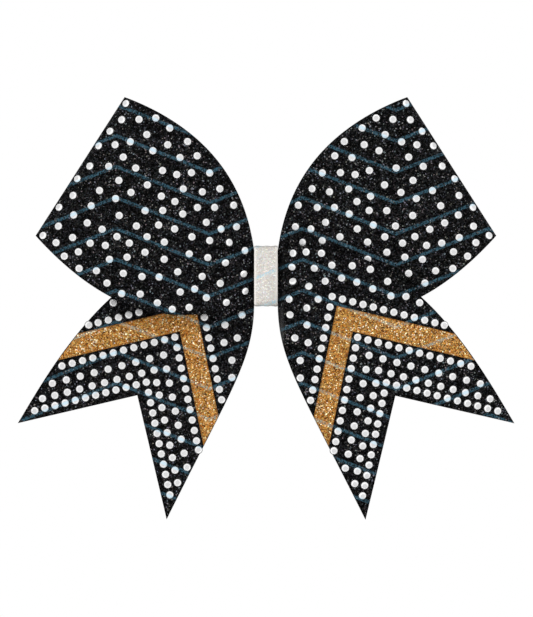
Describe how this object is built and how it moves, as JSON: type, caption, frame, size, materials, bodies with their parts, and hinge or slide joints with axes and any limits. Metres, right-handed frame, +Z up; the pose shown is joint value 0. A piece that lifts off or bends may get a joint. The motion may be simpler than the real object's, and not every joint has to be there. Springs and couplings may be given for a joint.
{
  "type": "cheer hair bow",
  "caption": "Cheer hair bow: glitter-faced ribbon loops and swallowtail tails with gold chevrons, a wrapped white knot and a sprung alligator clip.",
  "frame": {"origin": "between the clip's closed jaws, level with the middle of the knot", "axes": "+X across the bow to its right loop as seen from the front, +Y from the front of the bow to its back, +Z up"},
  "size_m": [0.2244, 0.0336, 0.1907],
  "materials": {
    "black_glitter": "coarse black glitter bonded to cloth",
    "black_ribbon": "ribbed grosgrain",
    "gold_glitter": "coarse gold glitter",
    "white_glitter": "fine pearl white glitter",
    "white_ribbon": "ribbed grosgrain",
    "thread": "waxed twisted thread",
    "nickel": "nickel plated steel",
    "spring_steel": "bare spring wire",
    "glue": "set hot glue",
    "rhinestone": "foil backed cut glass"
  },
  "bodies": {
    "bow": {"loop_left_glitter": "black_glitter", "loop_left_ribbon": "black_ribbon", "tail_left_glitter": "black_glitter", "tail_left_ribbon": "black_ribbon", "chevron_left": "gold_glitter", "loop_right_glitter": "black_glitter", "loop_right_ribbon": "black_ribbon", "tail_right_glitter": "black_glitter", "tail_right_ribbon": "black_ribbon", "chevron_right": "gold_glitter", "knot_glitter": "white_glitter", "knot_ribbon": "white_ribbon", "binding_thread": "thread", "clip_lining": "black_ribbon", "clip_fixed_jaw": "nickel", "clip_pin": "nickel", "clip_spring": "spring_steel", "glue_left": "glue", "glue_right": "glue"},
    "clip_jaw": {"clip_moving_jaw": "nickel"}
  },
  "joints": [
    {"name": "clip_open", "type": "hinge", "parent": "bow", "child": "clip_jaw", "pos_m": [0.015, 0.0032, 0], "axis": [0, 0, -1], "range_deg": [0, 30], "stiffness_Nm_per_rad": 0.1, "springref_deg": -34.38, "deforming": ["clip_spring"]}
  ]
}
